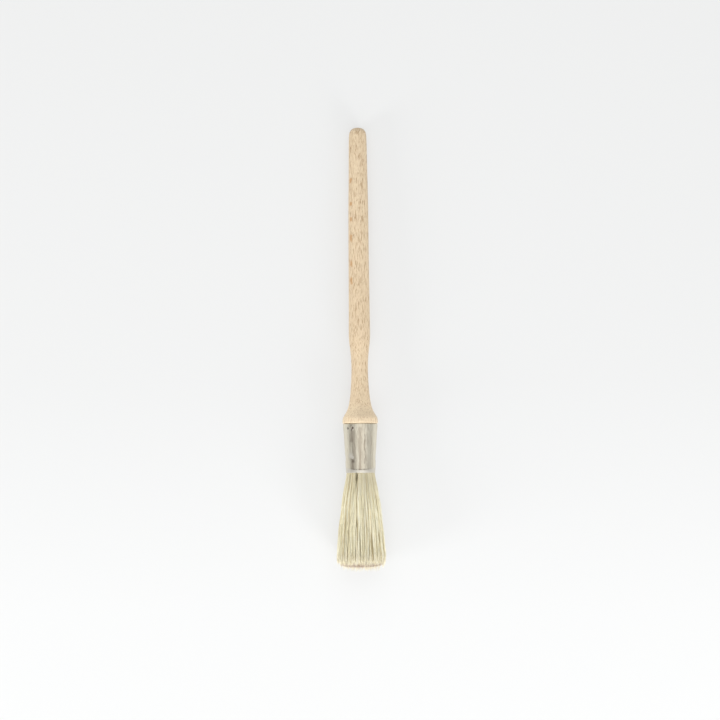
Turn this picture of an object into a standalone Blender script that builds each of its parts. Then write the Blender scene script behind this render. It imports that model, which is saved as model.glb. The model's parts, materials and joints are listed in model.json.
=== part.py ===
"""Round pastry brush: turned handle, metal ferrule, resin plug and a tuft divided into bristle locks.

The brush lies on its side on z = 0 with the handle towards +Y. It rests on the handle's butt and on the
flattened underside of the tuft. Sizes below are millimetres and the meshes are in metres.

Along the brush, `s` is the distance from the wood's shoulder, positive towards the butt. Around it,
the angle is measured from +X towards the top.
"""
import math

import bpy

MM = 0.001

# Driving sizes.
HANDLE_LENGTH = 169.5
FERRULE_LENGTH = 27.8
FREE_LENGTH = 53.6
COLLAR_RADIUS = 10.0
SWELL_RADIUS = 6.0
TUFT_RADIUS = 14.0
SHEET = 0.45
GAP = 0.3

# Turned outline of the visible wood, from its shoulder to the butt: distance, radius.
HANDLE_OUTLINE = [
    (0.0, COLLAR_RADIUS - 0.15),
    (0.3, COLLAR_RADIUS),
    (2.4, COLLAR_RADIUS - 0.18),
    (3.3, COLLAR_RADIUS - 0.45),
    (4.6, COLLAR_RADIUS - 1.15),
    (7.5, COLLAR_RADIUS - 2.75),
    (10.3, COLLAR_RADIUS - 3.75),
    (13.2, SWELL_RADIUS - 0.2),
    (18.9, SWELL_RADIUS - 0.85),
    (24.7, SWELL_RADIUS - 1.2),
    (30.3, SWELL_RADIUS - 1.37),
    (36.4, SWELL_RADIUS - 1.2),
    (42.0, SWELL_RADIUS - 0.7),
    (46.5, SWELL_RADIUS - 0.2),
    (50.5, SWELL_RADIUS),
    (67.7, SWELL_RADIUS - 0.1),
    (119.3, SWELL_RADIUS - 0.3),
    (143.5, SWELL_RADIUS - 0.68),
    (159.7, SWELL_RADIUS - 0.9),
    (164.8, SWELL_RADIUS - 1.05),
    (166.6, SWELL_RADIUS - 1.3),
    (168.0, SWELL_RADIUS - 1.95),
    (168.9, SWELL_RADIUS - 2.9),
    (169.3, SWELL_RADIUS - 3.9),
]
BUTT_END_RADIUS = 1.0

# The ferrule's outer skin from its rim to its mouth, and the straight part of its bore.
RIM = -GAP
FERRULE_SKIN = [
    (RIM, COLLAR_RADIUS - 0.45),
    (RIM - 0.3, COLLAR_RADIUS - 0.32),
    (-7.0, COLLAR_RADIUS - 0.75),
    (-12.0, COLLAR_RADIUS - 1.03),
    (-18.0, COLLAR_RADIUS - 1.38),
    (-22.0, COLLAR_RADIUS - 1.52),
    (1.4 - FERRULE_LENGTH, COLLAR_RADIUS - 1.7),
    (0.7 - FERRULE_LENGTH, COLLAR_RADIUS - 1.76),
    (0.2 - FERRULE_LENGTH, COLLAR_RADIUS - 1.86),
    (-FERRULE_LENGTH, COLLAR_RADIUS - 1.98),
]
MOUTH_BORE_RADIUS = COLLAR_RADIUS - 2.15
LIP_DEPTH = 0.25
MOUTH_LAND = 2.0

# Stake dents that grip the bristle roots: angles round the ferrule, their place and their size.
DENT_ANGLES = (123.0, 183.0, 243.0, 303.0, 3.0)
DENT_S = -19.3
DENT_DEPTH = 0.32
DENT_HALF_WIDTH = 1.7
DENT_ROW_STEP = 0.7

# Hidden pieces inside the ferrule.
TENON_END = -14.0
PLUG_START = TENON_END - GAP
PLUG_END = -17.5
ROOT_START = PLUG_END - GAP

# Outline of the tuft: distance beyond the ferrule's mouth, radius.
ROOT_DEPTH = -FERRULE_LENGTH - ROOT_START
BUNDLE_RADIUS = MOUTH_BORE_RADIUS - GAP
TUFT_OUTLINE = [
    (ROOT_DEPTH, BUNDLE_RADIUS + 0.4),
    (-1.8, BUNDLE_RADIUS),
    (0.1, BUNDLE_RADIUS),
    (5.6, 8.8),
    (12.3, 10.1),
    (22.3, 11.55),
    (31.4, 12.65),
    (39.3, 13.4),
    (47.1, TUFT_RADIUS),
]
TIP_ROUNDING = 3.6
TIP_ROUNDING_POWER = 9

# The tuft is divided into a centre lock and three rings of locks.
LOCK_COUNTS = (1, 6, 12, 16)
LOCK_CORNER = 0.3
FACE_CORNER = 0.6
ROOT_CORNER = 0.5
RING_PITCH = 1.0 / (len(LOCK_COUNTS) - 0.5)
SKIN_SHARE = 0.999

# The lying pose: where the brush touches the table, and how far the soft tuft is pressed flat.
BUTT_CONTACT = (159.7, SWELL_RADIUS - 0.9)
TUFT_CONTACT_S = -FERRULE_LENGTH - 46.5
PRESSED_FLAT = 1.0

SEGMENTS_HANDLE = 36
SEGMENTS_FERRULE = 60

MATERIALS = {
    "wood": ((0.72, 0.56, 0.36, 1.0), 0.0, 0.55),
    "ferrule": ((0.62, 0.60, 0.55, 1.0), 1.0, 0.32),
    "resin": ((0.55, 0.42, 0.22, 1.0), 0.0, 0.35),
    "bristle": ((0.70, 0.62, 0.42, 1.0), 0.0, 0.6),
}

TILT_SINE = (TUFT_RADIUS - PRESSED_FLAT - BUTT_CONTACT[1]) / (BUTT_CONTACT[0] - TUFT_CONTACT_S)
TILT_COSINE = math.sqrt(1.0 - TILT_SINE**2)
LIFT = max(radius * TILT_COSINE + s * TILT_SINE for s, radius in HANDLE_OUTLINE)


def interpolate(outline, place):
    """Radius of an outline at one place along the brush."""
    points = sorted(outline)
    if place <= points[0][0]:
        return points[0][1]
    for (start, start_radius), (end, end_radius) in zip(points, points[1:]):
        if place <= end:
            return start_radius + (end_radius - start_radius) * (place - start) / (end - start)
    return points[-1][1]


def lie_down(s, radius, angle):
    """World position, in millimetres, of a point given along and around the brush."""
    side = radius * math.cos(angle)
    up = radius * math.sin(angle)
    along = s * TILT_COSINE + up * TILT_SINE
    height = LIFT - s * TILT_SINE + up * TILT_COSINE
    return [side, along, max(height, 0.0)]


def ring_angles(count):
    return [2.0 * math.pi * index / count for index in range(count)]


def bridge(faces, first, second, count):
    """Join two rings of vertices with a band of four-sided faces."""
    for index in range(count):
        following = (index + 1) % count
        faces.append((first + index, first + following, second + following, second + index))


def close_end(faces, ring, centre, count, is_start):
    """Fill a ring of vertices with triangles that meet at its centre."""
    for index in range(count):
        first = ring + index
        second = ring + (index + 1) % count
        faces.append((second, first, centre) if is_start else (first, second, centre))


def lathe_solid(outline, segments):
    """A solid of revolution closed by a point on the axis at each end."""
    angles = ring_angles(segments)
    points = [lie_down(s, radius, angle) for s, radius in outline for angle in angles]
    start_centre = len(points)
    end_centre = start_centre + 1
    points.append(lie_down(outline[0][0], 0.0, 0.0))
    points.append(lie_down(outline[-1][0], 0.0, 0.0))
    faces = []
    for index in range(len(outline) - 1):
        bridge(faces, index * segments, (index + 1) * segments, segments)
    close_end(faces, 0, start_centre, segments, True)
    close_end(faces, (len(outline) - 1) * segments, end_centre, segments, False)
    return points, faces


def handle_body():
    """The visible turned wood and the tenon hidden in the ferrule."""
    tenon_rim = interpolate(FERRULE_SKIN, RIM - GAP) - SHEET - GAP
    tenon_tip = interpolate(FERRULE_SKIN, TENON_END) - SHEET - GAP
    tenon = [(TENON_END, tenon_tip - GAP), (TENON_END + GAP, tenon_tip), (0.0, tenon_rim)]
    outline = tenon + HANDLE_OUTLINE + [(HANDLE_LENGTH, BUTT_END_RADIUS)]
    return lathe_solid(outline, SEGMENTS_HANDLE)


def plug_body():
    radius = interpolate(FERRULE_SKIN, PLUG_END) - SHEET - GAP
    return lathe_solid([(PLUG_END, radius), (PLUG_START, radius)], SEGMENTS_HANDLE)


def dent(s, radius, angle):
    """Depth of the stake dents at one point of the ferrule's skin."""
    depth = 0.0
    for dent_angle in DENT_ANGLES:
        turn = math.remainder(angle - math.radians(dent_angle), 2.0 * math.pi)
        distance = math.hypot(turn * radius, s - DENT_S)
        if distance < DENT_HALF_WIDTH:
            depth = max(depth, DENT_DEPTH * (1.0 - (distance / DENT_HALF_WIDTH) ** 2) ** 2)
    return depth


def ferrule_body():
    """A thin sleeve: its skin, its turned-in mouth and its bore, joined into one closed wall."""
    row = DENT_S + DENT_HALF_WIDTH + DENT_ROW_STEP
    skin = list(FERRULE_SKIN)
    while row > DENT_S - DENT_HALF_WIDTH - DENT_ROW_STEP:
        skin.append((row, interpolate(FERRULE_SKIN, row)))
        row -= DENT_ROW_STEP
    skin = sorted(set(skin), reverse=True)
    bore = [
        (LIP_DEPTH - FERRULE_LENGTH, MOUTH_BORE_RADIUS),
        (MOUTH_LAND - FERRULE_LENGTH, MOUTH_BORE_RADIUS),
        (ROOT_START, interpolate(FERRULE_SKIN, ROOT_START) - SHEET),
        (RIM, interpolate(FERRULE_SKIN, RIM - GAP) - SHEET),
    ]
    angles = ring_angles(SEGMENTS_FERRULE)
    points = [lie_down(s, radius - dent(s, radius, angle), angle) for s, radius in skin for angle in angles]
    points += [lie_down(s, radius, angle) for s, radius in bore for angle in angles]
    faces = []
    ring_count = len(skin) + len(bore)
    for index in range(ring_count):
        following = (index + 1) % ring_count
        bridge(faces, index * SEGMENTS_FERRULE, following * SEGMENTS_FERRULE, SEGMENTS_FERRULE)
    return points, faces


def lock_corners(ring, index):
    """Corners of one lock's cross-section, as (share of the tuft's radius, angle, side, face) in order.

    Side and face are -1, 0 or 1 and say which way the corner moves in to leave a gap to its neighbours.
    """
    if ring == 0:
        return [(0.5 * RING_PITCH, angle, 0.0, 1.0) for angle in ring_angles(8)]
    half = math.pi / LOCK_COUNTS[ring]
    middle = -0.5 * math.pi + 2.0 * half * index
    inner = (ring - 0.5) * RING_PITCH
    outer = (ring + 0.5) * RING_PITCH
    bevel = LOCK_CORNER * RING_PITCH
    return [
        (inner, middle - ROOT_CORNER * half, -0.5, -1.0),
        (inner, middle + ROOT_CORNER * half, 0.5, -1.0),
        (inner + bevel, middle + half, 1.0, 0.0),
        (outer - bevel, middle + half, 1.0, 0.0),
        (outer, middle + FACE_CORNER * half, 0.5, 1.0),
        (outer, middle, 0.0, 1.0),
        (outer, middle - FACE_CORNER * half, -0.5, 1.0),
        (outer - bevel, middle - half, -1.0, 0.0),
        (inner + bevel, middle - half, -1.0, 0.0),
    ]


def lock_point(tuft_radius, distance, corner):
    """World position of one corner of a lock at one distance beyond the mouth."""
    share, angle, side, face = corner
    inset = 0.5 * GAP * face if share < SKIN_SHARE else 0.0
    radius = share * tuft_radius - inset
    turn = 0.5 * GAP * side / max(radius, GAP)
    return lie_down(-FERRULE_LENGTH - distance, radius, angle - turn)


def lock_body(ring, index):
    """One lock of bristles, from its root in the ferrule to its rounded tip."""
    corners = lock_corners(ring, index)
    count = len(corners)
    points = []
    for distance, tuft_radius in TUFT_OUTLINE:
        points += [lock_point(tuft_radius, distance, corner) for corner in corners]
    ends = [FREE_LENGTH - TIP_ROUNDING * corner[0] ** TIP_ROUNDING_POWER for corner in corners]
    points += [lock_point(TUFT_RADIUS, end, corner) for end, corner in zip(ends, corners)]
    rings = len(TUFT_OUTLINE) + 1
    faces = []
    for number in range(rings - 1):
        bridge(faces, number * count, (number + 1) * count, count)
    for first in (0, (rings - 1) * count):
        end_points = points[first:first + count]
        close_end(faces, first, len(points), count, first == 0)
        points.append([sum(point[axis] for point in end_points) / count for axis in range(3)])
    return points, faces


def lock_name(ring, index):
    return f"lock_{ring}_{index:02d}"


def all_bodies():
    """Every piece as name, material, points and faces."""
    bodies = [
        ("handle", "wood", *handle_body()),
        ("ferrule", "ferrule", *ferrule_body()),
        ("resin_plug", "resin", *plug_body()),
    ]
    for ring, count in enumerate(LOCK_COUNTS):
        for index in range(count):
            bodies.append((lock_name(ring, index), "bristle", *lock_body(ring, index)))
    return bodies


def signed_volume(points, faces):
    total = 0.0
    for face in faces:
        a = points[face[0]]
        for second, third in zip(face[1:], face[2:]):
            b = points[second]
            c = points[third]
            total += a[0] * (b[1] * c[2] - b[2] * c[1])
            total -= a[1] * (b[0] * c[2] - b[2] * c[0])
            total += a[2] * (b[0] * c[1] - b[1] * c[0])
    return total


def make_material(name):
    colour, metallic, roughness = MATERIALS[name]
    material = bpy.data.materials.new(name)
    material.use_nodes = True
    shader = material.node_tree.nodes["Principled BSDF"]
    shader.inputs["Base Color"].default_value = colour
    shader.inputs["Metallic"].default_value = metallic
    shader.inputs["Roughness"].default_value = roughness
    material.diffuse_color = colour
    return material


def make_object(name, material, points, faces, origin):
    """One object from millimetre points, with its origin where its joint is."""
    if signed_volume(points, faces) < 0.0:
        faces = [tuple(reversed(face)) for face in faces]
    placed = [[(point[axis] - origin[axis]) * MM for axis in range(3)] for point in points]
    mesh = bpy.data.meshes.new(name)
    mesh.from_pydata(placed, [], faces)
    mesh.materials.append(material)
    mesh.validate()
    mesh.update()
    mesh.shade_smooth()
    thing = bpy.data.objects.new(name, mesh)
    thing.location = [origin[axis] * MM for axis in range(3)]
    bpy.context.scene.collection.objects.link(thing)
    return thing


def main():
    for thing in list(bpy.data.objects):
        bpy.data.objects.remove(thing, do_unlink=True)
    bodies = all_bodies()
    along = [point[1] for body in bodies for point in body[2]]
    centre = 0.5 * (min(along) + max(along))
    for body in bodies:
        for point in body[2]:
            point[1] -= centre
    mouth = lie_down(-FERRULE_LENGTH, 0.0, 0.0)
    mouth[1] -= centre
    materials = {name: make_material(name) for name in MATERIALS}
    for name, slot, points, faces in bodies:
        origin = mouth if slot == "bristle" else [0.0, 0.0, 0.0]
        make_object(name, materials[slot], points, faces, origin)


main()
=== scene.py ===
"""Looks for the round pastry brush: turned beech, tinned ferrule and 5,200 separate bristles.

Lengths are millimetres until a mesh is made, and the meshes are in metres. `s` is the distance along the
brush from the wood's shoulder, positive towards the butt. Angles round the brush are from +X to the top.
"""
import json
import math

import bpy
import numpy as np
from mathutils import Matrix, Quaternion, Vector


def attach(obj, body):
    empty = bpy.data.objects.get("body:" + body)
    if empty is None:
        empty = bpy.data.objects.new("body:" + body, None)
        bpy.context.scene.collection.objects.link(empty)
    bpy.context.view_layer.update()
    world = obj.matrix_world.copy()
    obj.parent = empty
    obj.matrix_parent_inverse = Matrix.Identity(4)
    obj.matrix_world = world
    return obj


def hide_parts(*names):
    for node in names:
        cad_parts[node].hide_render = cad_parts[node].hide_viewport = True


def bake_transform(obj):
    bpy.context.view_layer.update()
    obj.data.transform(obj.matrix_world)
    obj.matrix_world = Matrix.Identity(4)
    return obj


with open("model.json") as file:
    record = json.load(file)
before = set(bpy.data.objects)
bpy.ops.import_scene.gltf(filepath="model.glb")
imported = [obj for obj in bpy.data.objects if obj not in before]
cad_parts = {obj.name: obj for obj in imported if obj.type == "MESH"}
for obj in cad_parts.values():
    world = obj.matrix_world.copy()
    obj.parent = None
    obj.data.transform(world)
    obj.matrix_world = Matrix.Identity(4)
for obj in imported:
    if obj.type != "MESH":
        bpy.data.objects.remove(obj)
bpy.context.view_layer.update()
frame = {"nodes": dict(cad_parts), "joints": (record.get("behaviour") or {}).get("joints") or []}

MM = 0.001

# ---------------------------------------------------------------- sizes, the same as the solids'
HANDLE_LENGTH = 169.5
FERRULE_LENGTH = 27.8
FREE_LENGTH = 53.6
COLLAR_RADIUS = 10.0
SWELL_RADIUS = 6.0
TUFT_RADIUS = 14.0
GAP = 0.3

HANDLE_OUTLINE = [
    (0.0, COLLAR_RADIUS - 0.22),
    (0.12, COLLAR_RADIUS - 0.07),
    (0.35, COLLAR_RADIUS),
    (2.4, COLLAR_RADIUS - 0.18),
    (3.3, COLLAR_RADIUS - 0.45),
    (4.6, COLLAR_RADIUS - 1.15),
    (7.5, COLLAR_RADIUS - 2.75),
    (10.3, COLLAR_RADIUS - 3.65),
    (13.2, SWELL_RADIUS - 0.2),
    (18.9, SWELL_RADIUS - 0.85),
    (24.7, SWELL_RADIUS - 1.2),
    (30.3, SWELL_RADIUS - 1.37),
    (36.4, SWELL_RADIUS - 1.2),
    (42.0, SWELL_RADIUS - 0.7),
    (46.5, SWELL_RADIUS - 0.2),
    (50.5, SWELL_RADIUS),
    (67.7, SWELL_RADIUS - 0.1),
    (119.3, SWELL_RADIUS - 0.3),
    (143.5, SWELL_RADIUS - 0.68),
    (159.7, SWELL_RADIUS - 0.9),
    (164.8, SWELL_RADIUS - 1.05),
    (166.6, SWELL_RADIUS - 1.3),
    (168.0, SWELL_RADIUS - 1.95),
    (168.9, SWELL_RADIUS - 2.9),
    (169.3, SWELL_RADIUS - 3.9),
    (HANDLE_LENGTH, 0.0),
]
TENON_END = -14.0
TENON_OUTLINE = [
    (-0.05, COLLAR_RADIUS - 1.1),
    (-0.4, COLLAR_RADIUS - 1.4),
    (TENON_END + 0.3, COLLAR_RADIUS - 2.05),
    (TENON_END, COLLAR_RADIUS - 2.35),
]
HANDLE_SEGMENTS = 128
DOME_LENGTH = 3.0
DOME_RINGS = 24
GRIP_END = HANDLE_LENGTH - 3.4
GRIP_RING_STEP = 0.45
FLARE_LENGTH = 14.0
FLARE_RINGS = 60
# Slow waves of the turned surface: lobes round the stick, height, turn in radians per millimetre along it.
TURNING_WAVES = ((2.0, 0.035, 0.045), (3.0, 0.02, -0.08))

RIM = -GAP
FERRULE_SKIN = [
    (RIM, COLLAR_RADIUS - 0.6),
    (RIM - 0.08, COLLAR_RADIUS - 0.42),
    (RIM - 0.3, COLLAR_RADIUS - 0.32),
    (-7.0, COLLAR_RADIUS - 0.75),
    (-12.0, COLLAR_RADIUS - 1.03),
    (-18.0, COLLAR_RADIUS - 1.38),
    (-22.0, COLLAR_RADIUS - 1.52),
    (1.9 - FERRULE_LENGTH, COLLAR_RADIUS - 1.67),
    (1.2 - FERRULE_LENGTH, COLLAR_RADIUS - 1.72),
    (0.6 - FERRULE_LENGTH, COLLAR_RADIUS - 1.78),
    (0.2 - FERRULE_LENGTH, COLLAR_RADIUS - 1.88),
    (-FERRULE_LENGTH, COLLAR_RADIUS - 2.02),
]
MOUTH_BORE_RADIUS = COLLAR_RADIUS - 2.15
FERRULE_BORE = [
    (0.08 - FERRULE_LENGTH, MOUTH_BORE_RADIUS + 0.02),
    (0.3 - FERRULE_LENGTH, MOUTH_BORE_RADIUS),
    (2.0 - FERRULE_LENGTH, MOUTH_BORE_RADIUS),
    (9.0 - FERRULE_LENGTH, COLLAR_RADIUS - 1.7),
    (RIM - 0.2, COLLAR_RADIUS - 0.8),
    (RIM, COLLAR_RADIUS - 0.77),
]
FERRULE_SEGMENTS = 360
# Rings of the ferrule's skin, close together at its ends and where it is marked.
RIM_RING_DROPS = (0.0, 0.03, 0.08, 0.16, 0.3)
# First place, last place and step.
BODY_RING_RUNS = (
    (-0.75, -4.5, -0.15),
    (-5.0, -16.5, -0.8),
    (-16.7, -22.0, -0.2),
    (-22.5, 3.7 - FERRULE_LENGTH, -0.5),
)
LIP_RINGS_HEIGHT = 3.6
LIP_RINGS = 30

DENT_ANGLES = (123.0, 183.0, 243.0, 303.0, 3.0)
DENT_S = -19.3
DENT_DEPTH = 0.4
DENT_HALF_WIDTH = 2.5
# Painted highlight on one facet and painted shade at the bottom of each dent: turn in degrees, shift, half
# width and strength.
DENT_FACET = (7.0, 1.2, 2.0, 0.9)
DENT_SHADE = (-4.0, -2.0, 1.3, 0.9)

# Prick marks: angle, place, half width and how far each is drawn out along the ferrule.
# The last one is the torn lower edge of the second.
PRICKS = ((136.0, -2.9, 0.7, 1.3), (117.0, -2.8, 0.75, 1.2), (121.5, -3.9, 0.5, 1.3))
PRICK_DEPTH = 0.35
# Painted shade in each prick's pit.
PRICK_SHADE = 1.6
# The burr's distance from the middle and its width are shares of the prick's half width.
BURR_SPREAD = 1.25
BURR_WIDTH = 0.3
BURR_HEIGHT = 0.06
# Painted highlight on the raised burr round each prick.
BURR_HIGHLIGHT = 0.5

LIP_WIDTH = 1.6
LIP_EXTRA_AT_SIDES = 1.6
LIP_GROOVE_DEPTH = 0.05
# Strength of the painted dark reflection just above the lip.
LIP_SHADE = 0.75
# Numbers of waves round the ferrule, and the height that each shares out over its waves.
HAMMER_WAVES = (5, 9, 14, 23, 37)
HAMMER_HEIGHT = 0.045

TUFT_OUTLINE = [
    (-6.0, MOUTH_BORE_RADIUS - 0.1),
    (0.0, MOUTH_BORE_RADIUS - 0.1),
    (2.0, 8.05),
    (5.6, 8.8),
    (12.3, 10.05),
    (22.3, 11.5),
    (31.4, 12.42),
    (39.3, 13.2),
    (47.1, TUFT_RADIUS - 0.05),
    (55.0, TUFT_RADIUS + 0.1),
]
TIP_ROUNDING = 4.6
TIP_ROUNDING_POWER = 7
LOCK_COUNTS = (1, 6, 12, 16)

# ---------------------------------------------------------------- the lying pose
HINGE = frame["joints"][0]
MOUTH = np.array(HINGE["pos_m"]) / MM
BUTT_CONTACT = (159.7, SWELL_RADIUS - 0.9)
TUFT_CONTACT = (-FERRULE_LENGTH - 46.5, TUFT_RADIUS - 1.0)
TILT = math.asin((TUFT_CONTACT[1] - BUTT_CONTACT[1]) / (BUTT_CONTACT[0] - TUFT_CONTACT[0]))
ALONG = np.array([0.0, math.cos(TILT), -math.sin(TILT)])
UP = np.array([0.0, math.sin(TILT), math.cos(TILT)])
SIDE = np.array([1.0, 0.0, 0.0])
SHOULDER = MOUTH + ALONG * FERRULE_LENGTH

# How the soft tuft is pressed against the table: heights from PRESS_LOW to PRESS_TOP are squeezed.
PRESS_TOP = 1.6
PRESS_LOW = -1.1
BRISTLE_FLOOR = 0.12

rng = np.random.default_rng(20)


def place(s, side, up):
    """Points in the row frame, in millimetres, of arrays given along and across the brush."""
    s, side, up = (np.asarray(value, float)[..., None] for value in (s, side, up))
    return SHOULDER + s * ALONG + side * SIDE + up * UP


def smooth_curve(points, at):
    """Values of a smooth curve through the points that never overshoots them."""
    x, y = (np.array(column, float) for column in zip(*sorted(points)))
    step = np.diff(x)
    slope = np.diff(y) / step
    tangent = np.zeros(len(x))
    same_way = slope[:-1] * slope[1:] > 0.0
    first = 2.0 * step[1:] + step[:-1]
    second = step[1:] + 2.0 * step[:-1]
    with np.errstate(divide="ignore", invalid="ignore"):
        mean = (first + second) / (first / slope[:-1] + second / slope[1:])
    tangent[1:-1] = np.where(same_way, mean, 0.0)
    tangent[0] = slope[0]
    tangent[-1] = slope[-1]
    at = np.clip(at, x[0], x[-1])
    span = np.clip(np.searchsorted(x, at) - 1, 0, len(step) - 1)
    t = (at - x[span]) / step[span]
    return (
        (2 * t**3 - 3 * t**2 + 1) * y[span]
        + (t**3 - 2 * t**2 + t) * step[span] * tangent[span]
        + (3 * t**2 - 2 * t**3) * y[span + 1]
        + (t**3 - t**2) * step[span] * tangent[span + 1]
    )


def smooth_step(value):
    """Rises smoothly from 0 to 1 as the value does, and stays level beyond them."""
    value = np.clip(value, 0.0, 1.0)
    return value * value * (3.0 - 2.0 * value)


def soft_line(distance, width):
    """1 on a line, falling off smoothly over the width to both sides."""
    return np.exp(-((distance / width) ** 2))


# ---------------------------------------------------------------- meshes
def make_piece(name, points, faces, material):
    """A smooth-shaded object from points in millimetres and an array or list of faces."""
    mesh = bpy.data.meshes.new(name)
    mesh.from_pydata((points * MM).tolist(), [], faces)
    mesh.materials.append(material)
    mesh.update()
    mesh.shade_smooth()
    piece = bpy.data.objects.new(name, mesh)
    bpy.context.scene.collection.objects.link(piece)
    return piece


def ring_faces(rings, segments, wrap=False):
    """Faces between successive rings of a grid of vertices, wound to face outwards for a falling s."""
    ring = np.arange(rings if wrap else rings - 1)[:, None]
    segment = np.arange(segments)[None, :]
    here = ring * segments
    there = ((ring + 1) % rings) * segments
    following = (segment + 1) % segments
    corners = [here + segment, there + segment, there + following, here + following]
    return np.stack(np.broadcast_arrays(*corners), -1).reshape(-1, 4).tolist()


def revolve(s, radius, segments):
    """A grid of points round the axis; radius is one value per ring or a full grid."""
    angle = np.linspace(0.0, 2.0 * math.pi, segments, endpoint=False)[None, :]
    radius = np.broadcast_to(np.asarray(radius, float).reshape(len(s), -1), (len(s), segments))
    s = np.broadcast_to(np.asarray(s, float)[:, None], radius.shape)
    return place(s, radius * np.cos(angle), radius * np.sin(angle)).reshape(-1, 3)


def turning_waves(s, angle):
    """How far the turned surface strays from a true circle; it fades out at the butt and the shoulder."""
    height = 0.0
    for lobes, reach, twist in TURNING_WAVES:
        height = height + reach * np.sin(lobes * angle + twist * s)
    fade = smooth_step((HANDLE_LENGTH - s) / 8.0) * smooth_step(s / 6.0)
    return height * fade


def build_handle(material):
    """The turned beech from the domed butt to the hidden tenon."""
    segments = HANDLE_SEGMENTS
    dome_turn = np.linspace(0.08, 0.5 * math.pi, DOME_RINGS)
    dome = HANDLE_LENGTH - DOME_LENGTH * (1.0 - np.cos(dome_turn))
    grip = np.arange(GRIP_END, FLARE_LENGTH, -GRIP_RING_STEP)
    flare = np.linspace(FLARE_LENGTH, 0.0, FLARE_RINGS)
    turned = np.concatenate([dome, grip, flare])
    tenon_s, tenon_radius = np.array(TENON_OUTLINE).T
    s = np.concatenate([turned, tenon_s])
    radius = np.concatenate([smooth_curve(HANDLE_OUTLINE, turned), tenon_radius])
    angle = np.linspace(0.0, 2.0 * math.pi, segments, endpoint=False)[None, :]
    points = revolve(s, radius[:, None] + turning_waves(s[:, None], angle), segments)
    faces = ring_faces(len(s), segments)
    butt = len(points)
    points = np.vstack([points, place([HANDLE_LENGTH, TENON_END], [0.0, 0.0], [0.0, 0.0])])
    last = (len(s) - 1) * segments
    for index in range(segments):
        following = (index + 1) % segments
        faces.append((butt, index, following))
        faces.append((butt + 1, last + following, last + index))
    piece = make_piece("turned_handle", points, faces, material)
    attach(piece, "brush")
    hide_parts("handle")
    return piece


def mark_distance(s, angle, radius, mark_angle, mark_s, stretch=1.0):
    """Distance over the skin from the middle of a mark, which may be drawn out along the ferrule."""
    turn = np.remainder(angle - math.radians(mark_angle) + math.pi, 2.0 * math.pi) - math.pi
    return np.hypot(turn * radius, (s - mark_s) / stretch)


def round_mark(distance, half_width):
    """Share of the full effect of a rounded mark, 1 in its middle and 0 beyond its half width."""
    return np.clip(1.0 - (distance / half_width) ** 2, 0.0, 1.0) ** 2


def prick_marks(s, angle, radius):
    """Depth, painted shade and painted highlight of the prick marks, each a small pit inside a raised burr;
    the shade is painted in the pit and the highlight on the burr.
    """
    depth = 0.0
    painted_shade = 0.0
    painted_highlight = 0.0
    for prick_angle, prick_s, half_width, stretch in PRICKS:
        distance = mark_distance(s, angle, radius, prick_angle, prick_s, stretch)
        pit = round_mark(distance, half_width)
        burr = soft_line(distance / half_width - BURR_SPREAD, BURR_WIDTH)
        depth = depth + PRICK_DEPTH * pit - BURR_HEIGHT * burr
        painted_shade = painted_shade + PRICK_SHADE * np.sqrt(pit)
        painted_highlight = painted_highlight + BURR_HIGHLIGHT * burr
    return depth, painted_shade, painted_highlight


def stake_dents(s, angle, radius):
    """Depth, painted shade and painted highlight of the stake dents round the ferrule."""
    depth = 0.0
    painted_shade = 0.0
    painted_highlight = 0.0
    facet_turn, facet_shift, facet_width, facet_shine = DENT_FACET
    shade_turn, shade_shift, shade_width, shade_strength = DENT_SHADE
    for dent_angle in DENT_ANGLES:
        hollow = mark_distance(s, angle, radius, dent_angle, DENT_S)
        facet = mark_distance(s, angle, radius, dent_angle + facet_turn, DENT_S + facet_shift)
        dent_shade = mark_distance(s, angle, radius, dent_angle + shade_turn, DENT_S + shade_shift)
        depth = depth + DENT_DEPTH * round_mark(hollow, DENT_HALF_WIDTH)
        painted_shade = painted_shade + shade_strength * round_mark(dent_shade, shade_width)
        painted_highlight = painted_highlight + facet_shine * np.sqrt(round_mark(facet, facet_width))
    return depth, painted_shade, painted_highlight


def lip_marks(s, angle):
    """Depth, painted shade and painted highlight of the lip and the groove beside it, which fades at the
    sides: a painted highlight along the lip and a painted dark reflection just above it.
    """
    side_on = np.abs(np.cos(angle))
    above_lip = s + FERRULE_LENGTH - LIP_WIDTH - LIP_EXTRA_AT_SIDES * side_on**3
    depth = LIP_GROOVE_DEPTH * soft_line(above_lip - 0.2, 0.4) * (1.0 - side_on**2)
    away_from_sides = 1.0 - smooth_step((side_on - 0.15) / 0.7)
    painted_shade = LIP_SHADE * soft_line(above_lip - 0.3, 0.35) * away_from_sides
    # Painted highlight along the lip.
    painted_highlight = 1.0 - smooth_step(above_lip / 0.5 + 0.5)
    return depth, painted_shade, painted_highlight


def hammer_waves(s, angle):
    """Faint waves round the sleeve, which fade out at its rim and its mouth."""
    height = np.zeros_like(angle)
    for waves in HAMMER_WAVES:
        height = height + np.sin(waves * angle + rng.uniform(0.0, 2.0 * math.pi)) * HAMMER_HEIGHT / waves
    body = smooth_step((s - RIM) / -2.0) * smooth_step((s + FERRULE_LENGTH) / 2.5)
    return height * body


def ferrule_rows():
    """Places of the rings of the ferrule's skin, from its rim to its mouth."""
    rim = RIM - np.array(RIM_RING_DROPS)
    body = [np.arange(*run) for run in BODY_RING_RUNS]
    lip = np.linspace(LIP_RINGS_HEIGHT, 0.0, LIP_RINGS) - FERRULE_LENGTH
    return np.concatenate([rim, *body, lip])


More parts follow.
